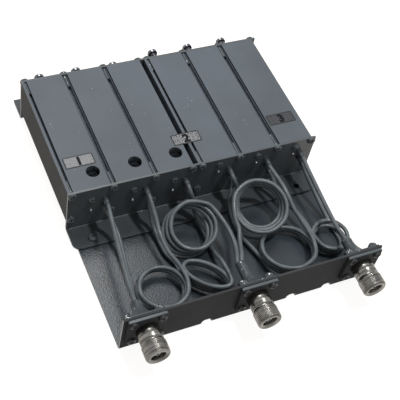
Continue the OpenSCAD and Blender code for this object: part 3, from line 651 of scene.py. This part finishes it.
# The flare's radius is collar_r + flare_r (1 - share)^2, with share from 0 at its foot to 1.
share = np.linspace(0, 1, 14)
flare = np.stack([collar_r + flare_r * (1 - share) ** 2, hood_t + flare_h * share], -1)
lining = flare[::-1] * (1, flare_in / flare_h) + (-metal_t, hood_t * (1 - flare_in / flare_h))
tip, necks, holes = hood_t + flare_h, (1.5, 8.0, 2.5), (1.55, 3.15, 1.55)
for (side, x), neck, hole in zip(jacks, necks, holes):
    cone = [*flare, (collar_r, tip + neck - 0.3), (collar_r - 0.2, tip + neck), (hole, tip + neck),
            (hole, tip - 2), *lining, flare[0]]
    seat = (x, hood_seat, jack_z)
    piece(f"hood_{side}_spun", [square_plate(seat, rear, hood_t, hood_bore),
                                turned(cone, seat, rear, sides=48)],
          sprayed, [f"hood_{side}"])
    flange = piece(f"jack_{side}_flange",
                   [square_plate((x, wall_y, jack_z), front, flange_t, flange_bore)],
                   front_face_shade, [])
    _, facing = face_facts(flange)
    # The flange's fronts keep the wall's dark copy, painted shade; its tops take the lighter
    # lacquer, painted light.
    recoat(flange, [lacquer], facing[:, 2] > faces_up)

# The jack's screws were sprayed with the flanges and are as dark and dull as their fronts, which
# is painted shade; the nuts behind the wall caught less of it, and their corners are chipped
# bright.
screw_shade_zinc = sprayed_over("spray_over_zinc_in_painted_shade", "#303233", "#3a3c3d", 0.75, "#a9adb0")
chipped_zinc = sprayed_over("chipped_spray_over_zinc", "#3b4144", "#494f53", 0.63, "#c9cccd")
corner_reach, jack_screw = 9.15, (5.5, 1.9, 2.9, 8.6)
corners = [(x + a * corner_reach, jack_z + b * corner_reach)
           for x in jack_x for a in (-1, 1) for b in (-1, 1)]
piece("jack_screws_turned", [pan_screw((x, wall_y - flange_t, z), front, *jack_screw)
                             for x, z in corners], screw_shade_zinc, ["jack_screws"])


# Nuts: hexagons cut from bar, their corners turned off on both faces. Small ones behind the
# wall hold the jacks; larger ones on the rear plate lock the tuning screws.
def hex_nut(centre, direction, flats, thickness, bore, sides=72):
    """Polar grid: the radius is the hexagon's, flats / 2 / cos(angle from the nearest flat), but
    no more than a chamfer circle that is smaller at both faces."""
    a, b, n = axes(direction)
    t = np.linspace(0, 2 * math.pi, sides, endpoint=False)
    hexagon = flats / 2 / np.cos((t + math.pi / 6) % (math.pi / 3) - math.pi / 6)
    corner = flats / 2 / math.cos(math.pi / 6)
    face_r, chamfer_r, chamfer_h = flats * 0.46, corner * 0.94, 0.12
    rows = [(bore, 0), (face_r, 0), (chamfer_r, 0), (corner, chamfer_h * thickness),
            (corner, (1 - chamfer_h) * thickness), (chamfer_r, thickness), (face_r, thickness),
            (bore + 0.2, thickness), (bore, thickness - 0.2), (bore, 0)]
    radius = np.stack([np.minimum(hexagon, r) for r, _ in rows])
    h = np.array([h for _, h in rows])[:, None, None]
    ring = a * np.cos(t)[:, None] + b * np.sin(t)[:, None]
    points = np.array(centre) + h * n + radius[..., None] * ring[None]
    return points, grid_faces(len(rows), sides, True)


tuner_x, tuner_z, bush_y = cell_x + np.array([1.2, -0.7, -2, -1.1, -2.3, -3.3]), 25, 105
small_nut, lock_nut = (5.5, 2.4, 1.47), (8, 3.2, 2.55)  # across flats, thickness, bore
piece("jack_nuts_cut", [hex_nut((x, hood_seat + hood_t, z), rear, *small_nut)
                        for x, z in corners], chipped_zinc, ["jack_nuts"])
piece("lock_nuts_cut", [hex_nut((x, bush_y, tuner_z), rear, *lock_nut) for x in tuner_x],
      chipped_zinc, ["lock_nuts"])


# Tuning screws: chrome plated brass with domed, slotted heads, one at the rear of each cell.
# Each turns in a brass bush and pushes a copper plunger along the cell. Chrome mirrors the
# room, under a faint haze of fingerprints; its colours are kept dark grey, a painted reflection
# of a dark room.
chrome, tree, shader = finish("chrome_plate", Metallic=1.0, Roughness=0.1)
_, haze = mottle(tree, shader, "#55575c", "#77797e", 400.0, 3.0)
add(tree, "ShaderNodeMapRange", {"Value": haze, "To Min": 0.06, "To Max": 0.2},
    onto=shader.inputs["Roughness"])
head_ends, head_d, head_h, neck_d = (118.1, 117.8, 116.7, 121.8, 120.8, 120.8), 7.4, 3.6, 4.9
stem_start, stem_r, stem_depth, stem_pitch, stem_sides = 90, 2.5, 0.35, 0.8, 32
for i, (x, end) in enumerate(zip(tuner_x, head_ends), 1):
    seat = end - head_h
    tip = [(0, stem_start - seat), (2.1, stem_start - seat), (2.2, stem_start + 0.3 - seat)]
    collar = [(2.2, -0.3), (2.4, -0.2), (2.4, 0), (0, 0)]
    stem = threaded(tip, collar, (x, seat, tuner_z), rear, stem_r, stem_depth, stem_pitch,
                    stem_sides, rows=8)
    head = pan_screw((x, seat, tuner_z), rear, head_d, head_h, neck_d, 0.1, recess="slot")
    piece(f"tuning_screw_{i}_turned", [stem, head], chrome, [f"tuning_screw_{i}"],
          body=f"tuning_screw_{i}", crease=45)


# Inside the cells and the jacks: copper wire wound on polystyrene formers, copper plungers, and
# a dark trimmer under each access hole; insulators and contacts in the jacks' bores. Their
# solids have the right shape as packed, and get their finishes here.
def plain(nodes, material):
    """CAD pieces that keep their own shape and get the given finish."""
    for node in nodes:
        frame["nodes"][node].data.materials.clear()
        frame["nodes"][node].data.materials.append(material)


# Bare copper: a warm metal, browner where it has tarnished.
copper, tree, shader = finish("bare_copper", Metallic=1.0, Roughness=0.3)
mottle(tree, shader, "#9a5a3c", "#c98a64", 150.0, 4.0)
plain(["resonators_low", "resonators_high"] + [f"plunger_{i}" for i in range(1, 7)], copper)

# Polystyrene, moulded: cream, and light goes a little way into it.
styrene, tree, shader = finish("moulded_polystyrene", Roughness=0.4, IOR=1.55,
                               Subsurface_Weight=0.1)
mottle(tree, shader, "#cfc9b9", "#ddd8ca", 90.0, 2.0)
plain(["resonator_formers"], styrene)

# PTFE, turned: a waxy olive grey, once white and soiled, and darkened further for the shade
# deep in the jacks' bores, which is painted shade.
ptfe, tree, shader = finish("turned_ptfe", Roughness=0.45, IOR=1.38)
mottle(tree, shader, "#57543f", "#6f6c58", 300.0, 3.0)
plain(["jack_insulators"], ptfe)

# The trimmers' ceramic cups and brass rotors are near black and give no glint through the
# access holes: painted shade.
ceramic, tree, shader = finish("ceramic_in_painted_shade", Roughness=0.5, Specular_IOR_Level=0.0)
mottle(tree, shader, "#1b1d20", "#23262a", 800.0, 2.0)
plain(["trimmer_bodies"], ceramic)

# Brass, turned: yellow and bright, with brown tarnish.
brass, tree, shader = finish("turned_brass", Metallic=1.0, Roughness=0.3)
mottle(tree, shader, "#9c8350", "#c3a86e", 240.0, 4.0)
plain(["tuner_bushes"], brass)
plain(["jack_contacts"], tin)

# The rotors' near black is painted shade.
rotor_shade, tree, shader = finish("brass_in_painted_shade", Roughness=0.6, Specular_IOR_Level=0.0)
mottle(tree, shader, "#1b1d20", "#22252a", 400.0, 3.0)
plain([f"trimmer_{i}" for i in range(1, 4)], rotor_shade)


# Labels: thin metallised film stuck over the first, the third and the last cell, printed with
# a thin black frame and a plain number. Print and film are rubbed, each label to its own look:
# pale grains of silver on a dark ground.
label_w, label_h, label_t, label_corner, frame_w = 20.4, 9.4, 0.15, 0.7, 0.8
number_h, number_bold, ink_half, ink_lift = 9.2, 0.5, 0.02, 0.025
label_z, label_at = 39.5, ((-77.5, 24.8), (-1.6, 24), (70.9, 22.8))


def worn_film(name, dull, light, spread):
    """Film with a black frame printed along its edge, wherever the place on the label is further
    from its middle than the frame's inner side; a fine noise over the given spread rubs the
    silver from light to dull."""
    made, tree, shader = finish(name, Roughness=0.5, IOR=1.5, Specular_IOR_Level=0.3)
    face = add(tree, "ShaderNodeUVMap", uv_map="along").outputs["UV"]
    parts = add(tree, "ShaderNodeSeparateXYZ", {"Vector": face})
    edges = []
    for axis, size in (("X", label_w), ("Y", label_h)):
        far = add(tree, "ShaderNodeMath", {0: parts.outputs[axis]}, operation="ABSOLUTE")
        edge = add(tree, "ShaderNodeMath", {0: far.outputs[0], 1: (size / 2 - frame_w) * MM},
                   operation="GREATER_THAN")
        edges.append(edge.outputs[0])
    printed = add(tree, "ShaderNodeMath", dict(enumerate(edges)), operation="MAXIMUM")
    scuffs = add(tree, "ShaderNodeTexNoise",
                 {"Vector": face, "Scale": 900.0, "Detail": 5.0, "Roughness": 0.7})
    silver = add(tree, "ShaderNodeValToRGB", {"Fac": scuffs.outputs["Fac"]},
                 zip(spread, (dull, light)))
    add(tree, "ShaderNodeMix", {"Factor": printed.outputs[0], "A": silver.outputs["Color"],
                                "B": linear("#17181a")},
        onto=shader.inputs["Base Color"], data_type="RGBA")
    return made


films = [worn_film("worn_white_film", "#4a4b4d", "#88898b", (0.36, 0.5)),
         worn_film("rubbed_white_film", "#232426", "#979899", (0.43, 0.57)),
         worn_film("soiled_white_film", "#1a1b1e", "#58595e", (0.42, 0.68))]

# Printing ink: nearly black and matt.
ink, tree, shader = finish("black_printing_ink", Roughness=0.5, Specular_IOR_Level=0.08)
mottle(tree, shader, "#0c0c0d", "#1b1c1d", 1500.0, 4.0)

outline = rounded_outline(label_w, label_h, label_corner, 48)
levels = [(outline * 0, label_t), (outline * 0.995, label_t), (outline, label_t - 0.04),
          (outline, 0), (outline * 0, 0)]
sheet = np.stack([np.column_stack([p, np.full(len(p), h)]) for p, h in levels])
sheet_uv = sheet.reshape(-1, 3)[:, :2] * MM
for number, (side, _), film, (x, y) in zip((1, 2, 3), jacks, films, label_at):
    piece(f"label_{side}_film",
          [(sheet + (x, y, label_z), grid_faces(len(levels), len(outline), True))],
          film, [f"label_{side}"], uv=sheet_uv)
    text = bpy.data.objects.new("number", bpy.data.curves.new("number", "FONT"))
    text.data.body, text.data.size = str(number), number_h * MM
    text.data.offset, text.data.extrude = number_bold * MM, ink_half * MM
    text.data.align_x, text.data.align_y = "CENTER", "CENTER"
    printed = bpy.data.meshes.new_from_object(text)
    bpy.data.objects.remove(text)
    ends = np.array([vertex.co[:2] for vertex in printed.vertices])
    off_x, off_y = (ends.min(axis=0) + ends.max(axis=0)) / 2
    printed.transform(Matrix.Translation((x * MM - off_x, y * MM - off_y,
                                          (label_z + label_t + ink_lift) * MM)))
    printed.materials.clear()
    printed.materials.append(ink)
    number_piece = placed(f"label_{side}_number", printed)
    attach(number_piece, "housing_block")


# The studio: a pale floor and surround, a dark pad under the tray that shows only through its
# openings and stands for the shade beneath it (painted shade), a soft lamp high behind the
# block, whose glare lies on the panels and the tray and leaves the front faces in shade, a
# smaller one nearly overhead that throws the cables' shadows on the tray, and weak light from
# all round.
def backdrop(name, low, high, z, material):
    """A level rectangle from corner to corner, in metres, that isn't part of the object."""
    (x0, y0), (x1, y1) = low, high
    mesh = bpy.data.meshes.new(name)
    mesh.from_pydata([(x0, y0, z), (x1, y0, z), (x1, y1, z), (x0, y1, z)], [], [(0, 1, 2, 3)])
    mesh.materials.append(material)
    placed(name, mesh)


def sees_white(tree):
    """1 for a ray from the camera, off a glossy surface or through glass, and 0 for the rest."""
    seen = add(tree, "ShaderNodeLightPath").outputs
    both = add(tree, "ShaderNodeMath", {0: seen["Is Camera Ray"], 1: seen["Is Glossy Ray"]},
               operation="MAXIMUM")
    return add(tree, "ShaderNodeMath", {0: both.outputs[0], 1: seen["Is Transmission Ray"]},
               operation="MAXIMUM").outputs[0]


paper, tree, shader = finish("pale_paper_floor", Base_Color=linear("#978d82"), Roughness=0.9,
                             Specular_IOR_Level=0.0)
glow = add(tree, "ShaderNodeMath", {0: sees_white(tree), 1: 0.92}, operation="MULTIPLY")
lit = add(tree, "ShaderNodeEmission", {"Color": (1, 1, 1, 1), "Strength": glow.outputs[0]})
add(tree, "ShaderNodeAddShader", {0: shader.outputs["BSDF"], 1: lit.outputs["Emission"]},
    onto=tree.nodes["Material Output"].inputs["Surface"])
backdrop("studio_floor", (-3, -3), (3, 3), -0.0002, paper)

# A dark pad under the tray, seen only through its holes and notches: painted shade.
shade_pad, tree, shader = finish("painted_shade_pad", Base_Color=linear("#1b1b1b"), Roughness=0.95,
                            Specular_IOR_Level=0.0)
backdrop("studio_shade_pad", (-0.08, -0.085), (0.08, 0.112), -0.0001, shade_pad)

world = bpy.data.worlds.new("white_surround")
bpy.context.scene.world = world
world.use_nodes = True
tree = world.node_tree
surround = tree.nodes["Background"]
surround.inputs["Color"].default_value = (1, 1, 1, 1)
add(tree, "ShaderNodeMapRange", {"Value": sees_white(tree), "To Min": 0.28, "To Max": 1.0},
    onto=surround.inputs["Strength"])


def lamp(name, at, size, power):
    """A square lamp that faces the middle of the object, 20 mm above the tray's underside."""
    made = placed(name, bpy.data.lights.new(name, "AREA"))
    made.data.size, made.data.energy = size, power
    a, b, n = axes(unit(np.array(at) - (0, 0, 0.02)))
    made.matrix_world = pose(a, b, n, at)


lamp("lamp_behind", (0.02, 0.55, 0.92), size=0.4, power=4.8)
lamp("lamp_above", (0.27, -0.12, 1.0), size=0.08, power=5.6)

bpy.context.scene.view_settings.view_transform = "Standard"
